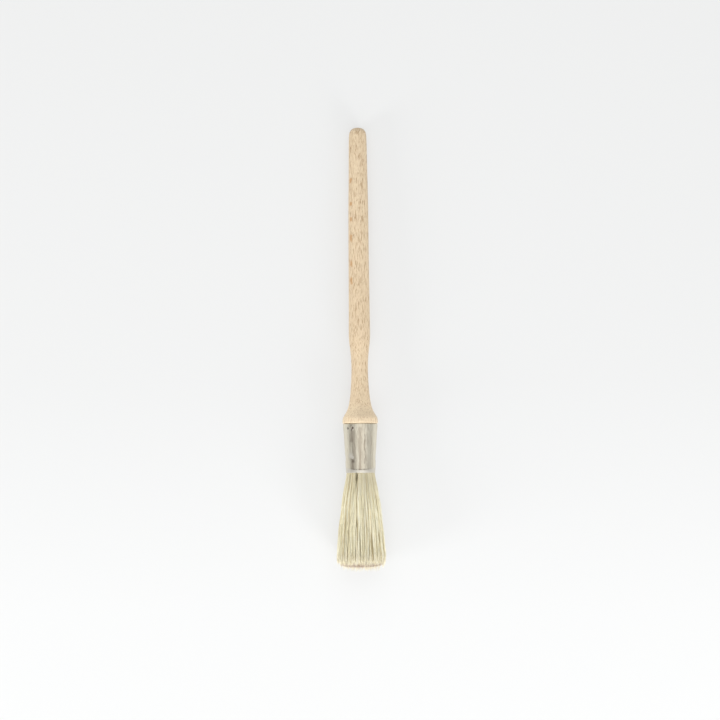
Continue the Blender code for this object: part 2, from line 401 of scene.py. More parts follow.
def build_ferrule(material):
    """The drawn sleeve with its mouth, stake dents, prick marks and faint hammer waves, and the painted shade
    and painted highlight of its marks.
    """
    segments = FERRULE_SEGMENTS
    rows = ferrule_rows()
    s = rows[:, None]
    angle = np.linspace(0.0, 2.0 * math.pi, segments, endpoint=False)[None, :]
    skin = np.repeat(smooth_curve(FERRULE_SKIN, rows)[:, None], segments, axis=1)
    marks = [prick_marks(s, angle, skin), stake_dents(s, angle, skin), lip_marks(s, angle)]
    depth, painted_shade, painted_highlight = (sum(effects) for effects in zip(*marks))
    outer = revolve(rows, skin - depth + hammer_waves(s, angle), segments)
    bore_s, bore_radius = np.array(FERRULE_BORE).T
    inner = revolve(bore_s, bore_radius, segments)
    faces = ring_faces(len(rows) + len(bore_s), segments, wrap=True)
    piece = make_piece("tinned_ferrule", np.vstack([outer, inner]), faces, material)
    # Painted shade and painted highlight of the marks; the bore takes the highlight colour all over.
    add_point_values(piece, "painted_shade", np.concatenate([painted_shade.reshape(-1), np.zeros(len(inner))]))
    add_point_values(piece, "painted_highlight", np.concatenate([painted_highlight.reshape(-1), np.ones(len(inner))]))
    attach(piece, "brush")
    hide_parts("ferrule")
    return piece


# ---------------------------------------------------------------- bristles
BRISTLE_COUNT = 5200
STRAND_COUNT = 2000
CLUMP_COUNT = 150
BRISTLE_RINGS = 15
BRISTLE_SIDES = 4
BRISTLE_RADII = (0.09, 0.135)
BRISTLE_TAPER = 0.3
TIP_THINNING = 0.6
ROOT_DEPTH = -5.0
BORE_CLEARANCE = 0.1

# Where the tips go: shares of the way to the middle of a strand or a clump, and shifts in the unit disc.
STRAND_GATHER = (0.2, 0.8)
CLUMP_LEAN = (0.0, 0.15)
STRAND_SHIFT = 0.016
BRISTLE_SHIFT = 0.012
# A strand is narrower than the outline by the first share at its tip, or wider by up to their sum.
STRAND_SPREAD_LEAST = -0.035
STRAND_SPREAD_RANGE = 0.065

# The cut stops a little short of the full length; some bristles stray beyond it and some fall short of it.
CUT_BACK = 1.5
STRAY_SHARE = 0.1
STRAY_EXTRA = (0.4, 2.7)
STRAY_THINNING = 0.8
SHORT_SHARE = 0.2
SHORT_BY = 0.5
SHORTEST = FREE_LENGTH - 12.0
LONGEST = FREE_LENGTH + 1.3

# Waves across the brush: least and greatest reach, and the distance in which a wave turns one radian.
BRISTLE_SWAY = (0.02, 0.16)
BRISTLE_WAVE = 5.0
STRAND_SWAY = (0.0, 0.42)
STRAND_WAVE = 6.5

SLIT_ANGLE = math.radians(107.0)
SLIT_WIDTH = 0.9
SLIT_OPENING = 0.85
SLIT_INNER_RADIUS = 5.2
SLIT_LENGTH = 11.0

# Tone of a bristle, from 0 for dark to 1 for pale; INNER_SHADE is painted shade on the bristles inside the
# bundle.
MEAN_TONE = 0.7
STRAND_TONE_SPREAD = 0.22
BRISTLE_TONE_SPREAD = 0.16
INNER_SHADE = 0.22
STRAY_SHADE = 0.1

# Lengths of the painted shade at the cut end, of the duller tip and of the painted shade beyond the ferrule's
# mouth.
TIP_BAND = 1.7
TIP_FADE = 5.0
MOUTH_SHADE = 16.0


def into_disc(points):
    """The points, with any outside the unit disc moved to its edge."""
    return points / np.maximum(np.linalg.norm(points, axis=1, keepdims=True), 1.0)


def spiral_disc(count, wobble):
    """Points spread evenly over a unit disc, then shaken."""
    index = np.arange(count) + 0.5
    share = np.sqrt(index / count)
    turn = index * math.pi * (3.0 - math.sqrt(5.0))
    points = np.stack([share * np.cos(turn), share * np.sin(turn)], -1)
    points += rng.normal(0.0, wobble, points.shape)
    return into_disc(points)


def nearest(points, centres):
    """Index of the centre nearest to each point."""
    return np.linalg.norm(points[:, None, :] - centres[None, :, :], axis=2).argmin(axis=1)


def bristle_tips(root, strand_root, strand, clump_root, clump):
    """Where each bristle ends in the unit disc: gathered into strands, and the strands into clumps."""
    gather = rng.uniform(*STRAND_GATHER, BRISTLE_COUNT)[:, None]
    lean = rng.uniform(*CLUMP_LEAN, CLUMP_COUNT)[clump][:, None]
    tip = root + (strand_root[strand] - root) * gather
    tip = tip + (clump_root[clump] - strand_root[strand]) * lean
    tip = tip + rng.normal(0.0, STRAND_SHIFT, (STRAND_COUNT, 2))[strand]
    tip = tip + rng.normal(0.0, BRISTLE_SHIFT, root.shape)
    return into_disc(tip)


def bristle_lengths(tip, stray):
    """Free length of each bristle; the tuft is cut nearly flat with rounded corners and a few strays."""
    rounding = np.linalg.norm(tip, axis=1) ** TIP_ROUNDING_POWER
    length = FREE_LENGTH - CUT_BACK - TIP_ROUNDING * rounding
    length += rng.normal(0.0, 1.0, BRISTLE_COUNT) * (0.15 + 0.8 * rounding)
    length += np.where(stray, rng.uniform(*STRAY_EXTRA, BRISTLE_COUNT), 0.0)
    length -= rng.exponential(SHORT_BY, BRISTLE_COUNT) * (rng.random(BRISTLE_COUNT) < SHORT_SHARE)
    return np.clip(length, SHORTEST, LONGEST)


def ring_distances(length):
    """Distance beyond the mouth of each bristle's rings; the last two are the cut end's length apart."""
    along = np.linspace(0.0, 1.0, BRISTLE_RINGS - 1)[None, :]
    distance = ROOT_DEPTH + (length[:, None] - TIP_BAND - ROOT_DEPTH) * along
    return np.hstack([distance, length[:, None]])


def fan_out(root, tip, distance, strand):
    """Offsets across the brush of bristles that leave their roots and spread to their tips."""
    fan = smooth_step(distance / FREE_LENGTH * 0.5 + 0.25) * 1.2 - 0.1
    fan = np.clip(fan, 0.0, 1.0)[..., None]
    unit = root[:, None, :] * (1.0 - fan) + tip[:, None, :] * fan
    loose = rng.random(STRAND_COUNT)[strand] ** 3
    spread = (STRAND_SPREAD_LEAST + STRAND_SPREAD_RANGE * loose)[:, None, None]
    spread = 1.0 + spread * smooth_step(distance / FREE_LENGTH)[..., None]
    return unit * smooth_curve(TUFT_OUTLINE, distance)[..., None] * spread


def sway(distance, strand):
    """Gentle waves across the brush: one shared by a whole strand and a smaller one for each bristle."""
    loosen = smooth_step(distance / 20.0)[..., None]
    run = distance[..., None]
    phase = rng.uniform(0.0, 2.0 * math.pi, (BRISTLE_COUNT, 1, 2))
    reach = rng.uniform(*BRISTLE_SWAY, (BRISTLE_COUNT, 1, 2))
    strand_phase = rng.uniform(0.0, 2.0 * math.pi, (STRAND_COUNT, 1, 2))[strand]
    strand_reach = rng.uniform(*STRAND_SWAY, (STRAND_COUNT, 1, 2))[strand]
    own = reach * np.sin(run / BRISTLE_WAVE + phase)
    shared = strand_reach * np.sin(run / STRAND_WAVE + strand_phase)
    return (own + shared) * loosen


def open_slit(across, distance):
    """Part the outer bristles beside the slit that shows just beyond the ferrule's mouth."""
    radius = np.linalg.norm(across, axis=2)
    angle = np.arctan2(across[..., 1], across[..., 0])
    off_slit = (angle - SLIT_ANGLE) * radius
    near = soft_line(off_slit, SLIT_WIDTH) * smooth_step((radius - SLIT_INNER_RADIUS) / 1.5)
    near = near * smooth_step((SLIT_LENGTH - distance) / 9.0) * smooth_step((distance + 2.0) / 2.0)
    angle = angle + np.sign(off_slit) * SLIT_OPENING * near / np.maximum(radius, 1.0)
    return np.stack([radius * np.cos(angle), radius * np.sin(angle)], -1)


def hold_in_bore(across, distance):
    """Keep the roots and the first millimetre beyond the mouth inside the ferrule's bore."""
    limit = smooth_curve(TUFT_OUTLINE, distance) - BORE_CLEARANCE
    radius = np.linalg.norm(across, axis=2)
    shrink = np.where(distance < 1.0, np.minimum(1.0, limit / np.maximum(radius, 0.01)), 1.0)
    return across * shrink[..., None]


def press_flat(lines):
    """Squeeze the lowest bristles together, so that the tuft rests flat just above the table."""
    height = lines[..., 2]
    squeezed = BRISTLE_FLOOR + (height - PRESS_LOW) * (PRESS_TOP - BRISTLE_FLOOR) / (PRESS_TOP - PRESS_LOW)
    lines[..., 2] = np.where(height < PRESS_TOP, np.maximum(squeezed, BRISTLE_FLOOR), height)
    return lines


def bristle_tones(root, strand, stray):
    """Tone of each bristle, in part shared by its strand, with painted shade on the inner bristles; strays
    are darker.
    """
    share = np.linalg.norm(root, axis=1)
    tone = MEAN_TONE + rng.normal(0.0, STRAND_TONE_SPREAD, STRAND_COUNT)[strand]
    tone = tone + rng.normal(0.0, BRISTLE_TONE_SPREAD, BRISTLE_COUNT)
    # Painted shade on the inner bristles.
    tone = tone - INNER_SHADE * smooth_step((0.96 - share) / 0.3) - STRAY_SHADE * stray
    return np.clip(tone, 0.0, 1.0)


def bristle_lines():
    """Centreline, ring distances, tone with painted shade and root of every bristle, and whether it strays.
    """
    root = spiral_disc(BRISTLE_COUNT, wobble=0.012)
    strand_root = spiral_disc(STRAND_COUNT, wobble=0.02)
    clump_root = spiral_disc(CLUMP_COUNT, wobble=0.03)
    strand = nearest(root, strand_root)
    clump = nearest(strand_root, clump_root)[strand]
    tip = bristle_tips(root, strand_root, strand, clump_root, clump)
    stray = rng.random(BRISTLE_COUNT) < STRAY_SHARE
    distance = ring_distances(bristle_lengths(tip, stray))
    across = fan_out(root, tip, distance, strand)
    across = open_slit(across + sway(distance, strand), distance)
    across = hold_in_bore(across, distance)
    lines = press_flat(place(-FERRULE_LENGTH - distance, across[..., 0], across[..., 1]))
    return lines, distance, bristle_tones(root, strand, stray), root, stray


def bristle_radii(distance, stray):
    """Radius of every ring; a bristle tapers, and its cut end is finer still."""
    thick = rng.uniform(*BRISTLE_RADII, BRISTLE_COUNT) * np.where(stray, STRAY_THINNING, 1.0)
    taper = 1.0 - BRISTLE_TAPER * smooth_step(distance / FREE_LENGTH)
    taper[:, -1] *= TIP_THINNING
    return thick[:, None] * taper


def bristle_tubes(lines, thickness):
    """Rings of points round the centrelines of the four-sided bristles."""
    tangent = np.gradient(lines, axis=1)
    tangent /= np.linalg.norm(tangent, axis=2, keepdims=True)
    first = np.cross(tangent, UP)
    first /= np.linalg.norm(first, axis=2, keepdims=True)
    second = np.cross(tangent, first)
    turn = rng.uniform(0.0, 2.0 * math.pi, (len(lines), 1, 1))
    turn = turn + np.arange(BRISTLE_SIDES) * 2.0 * math.pi / BRISTLE_SIDES
    ring = first[:, :, None, :] * np.cos(turn)[..., None] + second[:, :, None, :] * np.sin(turn)[..., None]
    return lines[:, :, None, :] + ring * thickness[..., None, None]


def bristle_faces():
    """Faces of one bristle, its two end caps included."""
    faces = ring_faces(BRISTLE_RINGS, BRISTLE_SIDES)
    last = (BRISTLE_RINGS - 1) * BRISTLE_SIDES
    faces.append(list(range(BRISTLE_SIDES)))
    faces.append([last + index for index in reversed(range(BRISTLE_SIDES))])
    return np.array(faces)


def lock_of(root):
    """Ring and number of the lock that each rooted bristle belongs to."""
    size = np.linalg.norm(root, axis=1)
    ring = np.minimum(np.rint(size * (len(LOCK_COUNTS) - 0.5)).astype(int), len(LOCK_COUNTS) - 1)
    angle = np.arctan2(root[:, 1], root[:, 0]) + 0.5 * math.pi
    count = np.array(LOCK_COUNTS)[ring]
    number = np.rint(angle * count / (2.0 * math.pi)).astype(int) % count
    return ring, number


def bristle_looks(distance, tone, root, stray):
    """Values that the bristles' colour depends on, for every ring of every bristle."""
    to_tip = distance[:, -1:] - distance
    share = np.linalg.norm(root, axis=1, keepdims=True)
    end_shade = (1.0 - to_tip / TIP_BAND) * (1.0 - smooth_step((share - 0.75) / 0.2))
    return {
        "tone": np.broadcast_to(tone[:, None], distance.shape),
        # Painted shade at the cut ends of the inner bristles; strays have none.
        "end_shade": np.where(stray[:, None], 0.0, end_shade),
        # Painted shade beyond the ferrule's mouth.
        "inside": 1.0 - smooth_step(distance / MOUTH_SHADE),
        "tip": smooth_step(1.0 - to_tip / TIP_FADE),
    }


def build_lock(name, tubes, looks, material):
    """One piece made of separate bristles."""
    faces = bristle_faces()
    offsets = np.arange(len(tubes))[:, None, None] * BRISTLE_RINGS * BRISTLE_SIDES
    lock_faces = (faces[None, :, :] + offsets).reshape(-1, 4).tolist()
    piece = make_piece(name, tubes.reshape(-1, 3), lock_faces, material)
    for look, values in looks.items():
        add_point_values(piece, look, np.repeat(values, BRISTLE_SIDES, axis=1).reshape(-1))
    return piece


def build_tuft(material):
    """One piece for each lock, made of its own separate bristles."""
    lines, distance, tone, root, stray = bristle_lines()
    tubes = bristle_tubes(lines, bristle_radii(distance, stray))
    looks = bristle_looks(distance, tone, root, stray)
    ring, number = lock_of(root)
    for lock_ring, count in enumerate(LOCK_COUNTS):
        for lock_number in range(count):
            chosen = np.flatnonzero((ring == lock_ring) & (number == lock_number))
            lock_looks = {look: values[chosen] for look, values in looks.items()}
            name = f"bristles_{lock_ring}_{lock_number:02d}"
            piece = build_lock(name, tubes[chosen], lock_looks, material)
            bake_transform(piece)
            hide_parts(f"lock_{lock_ring}_{lock_number:02d}")


def add_point_values(piece, name, values):
    """Store one number for each point of the mesh."""
    attribute = piece.data.attributes.new(name, "FLOAT", "POINT")
    attribute.data.foreach_set("value", np.asarray(values, np.float32))


# ---------------------------------------------------------------- material helpers
def add(tree, kind, inputs=(), **settings):
    """A node with its settings, and inputs given as values or as sockets to link."""
    node = tree.nodes.new(kind)
    for name, value in settings.items():
        setattr(node, name, value)
    for name, value in dict(inputs).items():
        connect(tree, node.inputs[name], value)
    return node


def connect(tree, socket, value):
    """Link a socket to another one, or set its value."""
    if isinstance(value, bpy.types.NodeSocket):
        tree.links.new(value, socket)
    else:
        socket.default_value = value


def mix(tree, factor, first, second):
    """A colour mix; returns its colour socket."""
    node = add(tree, "ShaderNodeMix", data_type="RGBA", blend_type="MIX")
    connect(tree, node.inputs[0], factor)
    connect(tree, node.inputs[6], first)
    connect(tree, node.inputs[7], second)
    return node.outputs[2]


def maths(tree, operation, first, second=0.0):
    """A sum, product or other operation on two numbers."""
    node = add(tree, "ShaderNodeMath", operation=operation)
    connect(tree, node.inputs[0], first)
    connect(tree, node.inputs[1], second)
    return node.outputs[0]


def overlay(tree, colour, mask, strength, tint):
    """The colour with a tint laid over it where the mask is high."""
    return mix(tree, maths(tree, "MULTIPLY", mask, strength), colour, tint)


def remap(tree, value, low, high, to_low=0.0, to_high=1.0, smooth=False):
    """A value between low and high carried over to another range and held at its ends."""
    kind = "SMOOTHSTEP" if smooth else "LINEAR"
    node = add(tree, "ShaderNodeMapRange", {"Value": value}, interpolation_type=kind)
    node.inputs["From Min"].default_value = low
    node.inputs["From Max"].default_value = high
    node.inputs["To Min"].default_value = to_low
    node.inputs["To Max"].default_value = to_high
    return node.outputs["Result"]


def point_value(tree, name):
    """A number stored on the points of the mesh."""
    return add(tree, "ShaderNodeAttribute", attribute_name=name).outputs["Fac"]


def stretched_noise(tree, coordinates, scale, detail=3.0, offset=(0.0, 0.0, 0.0)):
    """Noise over coordinates scaled differently along each axis."""
    mapping = add(tree, "ShaderNodeMapping", {"Vector": coordinates, "Scale": scale, "Location": offset})
    inputs = {
        "Vector": mapping.outputs["Vector"],
        "Scale": 1.0,
        "Detail": detail,
        "Roughness": 0.6,
    }
    return add(tree, "ShaderNodeTexNoise", inputs).outputs["Fac"]


def new_material(name, roughness, metallic=0.0, specular=0.5):
    """A node material, its tree and its shader with these uniform values."""
    material = bpy.data.materials.new(name)
    material.use_nodes = True
    tree = material.node_tree
    shader = tree.nodes["Principled BSDF"]
    shader.inputs["Roughness"].default_value = roughness
    shader.inputs["Metallic"].default_value = metallic
    shader.inputs["Specular IOR Level"].default_value = specular
    return material, tree, shader


def brush_coordinates(tree):
    """Millimetres in the brush's own frame: X across, Y along from the shoulder, Z above the axis."""
    coordinates = add(tree, "ShaderNodeTexCoord").outputs["Object"]
    inputs = {
        "Vector": coordinates,
        "Scale": (1.0 / MM,) * 3,
        "Rotation": (TILT, 0.0, 0.0),
        "Location": (0.0, -float(SHOULDER @ ALONG), -float(SHOULDER @ UP)),
    }
    return add(tree, "ShaderNodeMapping", inputs).outputs["Vector"]


def bump(tree, shader, height, strength, distance):
    """Fine relief on the shader's surface."""
    inputs = {"Height": height, "Strength": strength, "Distance": distance}
    node = add(tree, "ShaderNodeBump", inputs)
    tree.links.new(node.outputs["Normal"], shader.inputs["Normal"])


# ---------------------------------------------------------------- materials
BEECH_DEEP = (0.71, 0.575, 0.395, 1.0)
BEECH_PALE = (0.76, 0.635, 0.44, 1.0)
BEECH_PATCH = (0.78, 0.625, 0.45, 1.0)
BEECH_MOTTLE = (0.58, 0.435, 0.28, 1.0)
BEECH_FIBRE = (0.58, 0.43, 0.27, 1.0)
END_GRAIN = (0.85, 0.70, 0.49, 1.0)
DASH_BROWN = (0.34, 0.21, 0.11, 1.0)
FLECK_BROWN = (0.28, 0.16, 0.075, 1.0)
RAY_BROWN = (0.42, 0.23, 0.11, 1.0)
KNOT_ORANGE = (0.48, 0.25, 0.10, 1.0)
CHATTER_RED = (0.52, 0.31, 0.19, 1.0)

TIN_DEEP = (0.71, 0.64, 0.51, 1.0)
TIN_PALE = (0.87, 0.82, 0.68, 1.0)
TIN_FINE_LINE = (0.50, 0.44, 0.34, 1.0)
TIN_DULL = (0.54, 0.46, 0.35, 1.0)
# Colour of the painted reflection streaks.
REFLECTION_TIN = (0.97, 0.92, 0.78, 1.0)
DARK_STREAK_BROWN = (0.28, 0.205, 0.15, 1.0)
# Colours of the painted highlight and the painted shade.
HIGHLIGHT_TIN = (0.80, 0.76, 0.68, 1.0)
PAINTED_SHADE_DARK = (0.11, 0.08, 0.06, 1.0)

RESIN_DEEP = (0.36, 0.22, 0.08, 1.0)
RESIN_PALE = (0.62, 0.44, 0.2, 1.0)

# Colour of a bristle for each tone.
BRISTLE_TONES = (
    (0.0, (0.50, 0.38, 0.19, 1.0)),
    (0.3, (0.83, 0.73, 0.46, 1.0)),
    (0.6, (0.96, 0.90, 0.66, 1.0)),
    (1.0, (0.99, 0.955, 0.78, 1.0)),
)
# Colour of the painted shade beyond the mouth.
BRISTLE_SHADE = (0.50, 0.42, 0.25, 1.0)
BRISTLE_TIP = (0.74, 0.68, 0.54, 1.0)
# Painted shade at the cut end.
BRISTLE_END_SHADE = (0.38, 0.27, 0.22, 1.0)

# Share of the end grain's colour at the flare's end.
END_GRAIN_SHARE = 0.65
SPOT_SPACING = 11.5
SPOT_SIDE = -4.3
SPOT_RANGE = (78.0, 139.0)
# Streaks along the top of the ferrule: side, first and last distance from the rim, half width, strength. The
# light ones are painted reflections; the outermost pair is the painted reflection of the bright floor at the
# edges.
DARK_STREAKS = (
    (-4.8, 1.5, 10.0, 0.9, 0.5),
    (-4.5, 20.0, 26.0, 0.9, 0.5),
    (-3.9, 4.0, 26.0, 0.8, 0.25),
    (-0.2, 3.0, 26.5, 1.0, 0.42),
    (1.4, 1.0, 26.0, 0.5, 0.14),
    (2.5, 7.0, 22.0, 0.3, 0.55),
)
REFLECTION_STREAKS = (
    (-8.3, 1.0, 27.0, 1.6, 0.6),
    (-6.6, 1.0, 26.0, 0.7, 0.4),
    (-2.0, 1.0, 26.0, 0.3, 0.3),
    (3.5, 1.0, 26.0, 0.4, 0.4),
    (5.2, 1.0, 26.0, 0.8, 0.3),
    (8.3, 1.0, 27.0, 1.6, 0.6),
)


def fleck_mask(tree, coordinates, scale, low, high, keep, full, offset):
    """Short spindle-shaped marks along the grain, each cell with its own strength."""
    mapping = add(tree, "ShaderNodeMapping", {"Vector": coordinates, "Scale": scale, "Location": offset})
    cells = add(
        tree,
        "ShaderNodeTexVoronoi",
        {"Vector": mapping.outputs["Vector"], "Scale": 1.0, "Randomness": 1.0},
    )
    inside = remap(tree, cells.outputs["Distance"], low, high, 1.0, 0.0, smooth=True)
    choice = add(tree, "ShaderNodeSeparateColor", {"Color": cells.outputs["Color"]})
    strength = remap(tree, choice.outputs[0], keep, full)
    return maths(tree, "MULTIPLY", inside, strength)


def band(tree, value, low, high, soft):
    """1 between low and high, falling to 0 within the soft distance outside them."""
    rise = remap(tree, value, low - soft, low, smooth=True)
    fall = remap(tree, value, high, high + soft, 1.0, 0.0, smooth=True)
    return maths(tree, "MULTIPLY", rise, fall)


def knot_row(tree, coordinates):
    """Orange-brown spots in a row along one side of the grip, unevenly spaced."""
    axes = add(tree, "ShaderNodeSeparateXYZ", {"Vector": coordinates})
    wander = stretched_noise(tree, coordinates, (0.0, 0.05, 0.0), 2.0, (0.0, 11.0, 0.0))
    ragged = stretched_noise(tree, coordinates, (1.1, 0.5, 1.1), 2.0, (4.0, 1.0, 6.0))
    shifted = maths(tree, "ADD", axes.outputs["Y"], remap(tree, wander, 0.0, 1.0, -7.0, 7.0))
    beat = maths(tree, "PINGPONG", shifted, 0.5 * SPOT_SPACING)
    beat = maths(tree, "ADD", beat, remap(tree, ragged, 0.3, 0.7, -0.7, 0.7))
    along = remap(tree, beat, 0.4, 2.4, 1.0, 0.0, smooth=True)
    offset = maths(tree, "SUBTRACT", axes.outputs["X"], SPOT_SIDE)
    ragged_side = maths(tree, "ADD", offset, remap(tree, ragged, 0.3, 0.7, -0.3, 0.3))
    across = band(tree, ragged_side, -0.25, 0.25, 0.75)
    stretch = band(tree, axes.outputs["Y"], *SPOT_RANGE, 3.0)
    above = remap(tree, axes.outputs["Z"], 0.0, 1.5)
    spot = maths(tree, "MULTIPLY", along, across)
    return maths(tree, "MULTIPLY", spot, maths(tree, "MULTIPLY", stretch, above))


def chatter(tree, coordinates):
    """Short reddish tool marks round the edge of the collar, where the turning cuts across the grain."""
    axes = add(tree, "ShaderNodeSeparateXYZ", {"Vector": coordinates})
    marks = stretched_noise(tree, coordinates, (2.2, 0.25, 2.2), 3.0, (3.0, 7.0, 5.0))
    edge = band(tree, axes.outputs["Y"], 1.2, 4.2, 1.2)
    return maths(tree, "MULTIPLY", remap(tree, marks, 0.53, 0.66), edge)


def plain_beech(tree, at, fibre, end_grain):
    """Colour of the wood without its flecks: broad tones, patches, mottle, fibres and end grain."""
    broad = stretched_noise(tree, at, (0.22, 0.012, 0.22), 2.0)
    patch = stretched_noise(tree, at, (0.5, 0.09, 0.5), 3.0, (7.0, 3.0, 1.0))
    mottle = stretched_noise(tree, at, (1.5, 0.4, 1.5), 3.0, (2.0, 6.0, 4.0))
    colour = mix(tree, remap(tree, broad, 0.35, 0.65), BEECH_DEEP, BEECH_PALE)
    colour = mix(tree, remap(tree, patch, 0.35, 0.7, 0.0, 0.6), colour, BEECH_PATCH)
    colour = mix(tree, remap(tree, mottle, 0.38, 0.62, 0.0, 0.5), colour, BEECH_MOTTLE)
    colour = mix(tree, remap(tree, fibre, 0.35, 0.65, 0.0, 0.4), colour, BEECH_FIBRE)
    return mix(tree, end_grain, colour, END_GRAIN)


def dash_mask(tree, at, end_grain):
    """Fine dashes along the grain, crowded in places and weaker where the end grain shows."""
    dashes = stretched_noise(tree, at, (2.8, 0.22, 2.8), 2.0, (6.0, 2.0, 3.0))
    crowd = stretched_noise(tree, at, (0.3, 0.03, 0.3), 1.0, (2.0, 5.0, 1.0))
    dash = maths(tree, "MULTIPLY", remap(tree, dashes, 0.56, 0.62), remap(tree, crowd, 0.35, 0.6, 0.7, 1.0))
    return maths(tree, "MULTIPLY", dash, remap(tree, end_grain, 0.0, END_GRAIN_SHARE, 1.0, 0.4))


def wood_material():
    """Sanded beech: pale tan, fine fibres and many short brown ray flecks along the grain."""
    material, tree, shader = new_material("beech", 0.52, specular=0.3)
    at = brush_coordinates(tree)
    axes = add(tree, "ShaderNodeSeparateXYZ", {"Vector": at})
    end_grain = remap(tree, axes.outputs["Y"], 15.0, 5.0, 0.0, END_GRAIN_SHARE)
    fibre = stretched_noise(tree, at, (4.0, 0.22, 4.0), 4.0)
    small = fleck_mask(tree, at, (1.5, 0.17, 1.5), 0.08, 0.27, 0.1, 0.6, (0.0, 0.0, 0.0))
    large = fleck_mask(tree, at, (0.7, 0.1, 0.7), 0.05, 0.17, 0.5, 0.9, (3.0, 5.0, 9.0))
    colour = plain_beech(tree, at, fibre, end_grain)
    colour = overlay(tree, colour, dash_mask(tree, at, end_grain), 0.9, DASH_BROWN)
    colour = overlay(tree, colour, small, 0.7, FLECK_BROWN)
    colour = overlay(tree, colour, large, 0.5, RAY_BROWN)
    colour = overlay(tree, colour, knot_row(tree, at), 0.75, KNOT_ORANGE)
    colour = overlay(tree, colour, chatter(tree, at), 0.5, CHATTER_RED)
    tree.links.new(colour, shader.inputs["Base Color"])
    rough = remap(tree, fibre, 0.2, 0.8, 0.46, 0.60)
    tree.links.new(rough, shader.inputs["Roughness"])
    height = maths(tree, "SUBTRACT", fibre, maths(tree, "MULTIPLY", small, 0.8))
    bump(tree, shader, height, strength=0.25, distance=0.00006)
    return material


def streak_mask(tree, coordinates, streaks):
    """Soft lengthwise streaks on the upper side, each at its own place and with its own strength."""
    axes = add(tree, "ShaderNodeSeparateXYZ", {"Vector": coordinates})
    ragged = stretched_noise(tree, coordinates, (1.2, 0.22, 1.2), 3.0, (9.0, 4.0, 2.0))
    side = maths(tree, "ADD", axes.outputs["X"], remap(tree, ragged, 0.3, 0.7, -0.45, 0.45))
    total = 0.0
    for middle, first, last, half_width, strength in streaks:
        across = band(tree, side, middle - 0.3 * half_width, middle + 0.3 * half_width, 0.9 * half_width)
        along = band(tree, axes.outputs["Y"], -last, -first, 1.5)
        streak = maths(tree, "MULTIPLY", maths(tree, "MULTIPLY", across, along), strength)
        total = maths(tree, "MAXIMUM", total, streak)
    above = remap(tree, axes.outputs["Z"], 0.0, 3.0)
    return maths(tree, "MULTIPLY", total, above)


def ferrule_material():
    """Tinned steel drawn lengthwise: long streaks in tone and surface, dull patches, painted reflection
    streaks along the top, painted highlight on the lip, dent facets and burrs, and painted shade in the pits,
    the dents and above the lip.
    """
    material, tree, shader = new_material("tinned_steel", 0.44, metallic=1.0)
    at = brush_coordinates(tree)
    streak = stretched_noise(tree, at, (1.3, 0.02, 1.3), 3.0, (11.0, 0.0, 3.0))
    fine = stretched_noise(tree, at, (3.2, 0.04, 3.2), 3.0, (4.0, 0.0, 2.0))
    cloud = stretched_noise(tree, at, (0.25, 0.12, 0.25), 3.0, (1.0, 8.0, 5.0))
    patchy = stretched_noise(tree, at, (1.9, 1.5, 1.9), 3.0, (2.0, 1.0, 7.0))
    painted_highlight = point_value(tree, "painted_highlight")
    painted_shade = maths(tree, "MULTIPLY", point_value(tree, "painted_shade"), remap(tree, patchy, 0.4, 0.58, 0.4, 1.2))
    colour = mix(tree, remap(tree, streak, 0.38, 0.62), TIN_DEEP, TIN_PALE)
    colour = mix(tree, remap(tree, fine, 0.42, 0.58, 0.0, 0.6), colour, TIN_FINE_LINE)
    colour = mix(tree, remap(tree, cloud, 0.55, 0.8, 0.0, 0.4), colour, TIN_DULL)
    # Painted reflection streaks.
    colour = mix(tree, streak_mask(tree, at, REFLECTION_STREAKS), colour, REFLECTION_TIN)
    # Dark brown streaks along the top.
    colour = mix(tree, streak_mask(tree, at, DARK_STREAKS), colour, DARK_STREAK_BROWN)
    # Painted highlight on the lip, the dent facets and the burrs.
    colour = mix(tree, remap(tree, painted_highlight, 0.0, 1.0, 0.0, 0.9), colour, HIGHLIGHT_TIN)
    # Painted shade in the pits and dents, and a painted dark reflection above the lip.
    colour = mix(tree, remap(tree, painted_shade, 0.0, 1.0, 0.0, 0.85), colour, PAINTED_SHADE_DARK)
    tree.links.new(colour, shader.inputs["Base Color"])
    rough = remap(tree, streak, 0.3, 0.7, 0.42, 0.54)
    rough = maths(tree, "ADD", rough, maths(tree, "MULTIPLY", painted_highlight, 0.12))
    tree.links.new(rough, shader.inputs["Roughness"])
    height = maths(tree, "ADD", streak, maths(tree, "MULTIPLY", fine, 0.4))
    bump(tree, shader, height, strength=0.3, distance=0.00008)
    return material


def resin_material():
    """Amber setting resin with soft clouds."""
    material, tree, shader = new_material("setting_resin", 0.3)
    at = brush_coordinates(tree)
    cloud = stretched_noise(tree, at, (0.4, 0.4, 0.4), 3.0)
    colour = mix(tree, cloud, RESIN_DEEP, RESIN_PALE)
    tree.links.new(colour, shader.inputs["Base Color"])
    return material


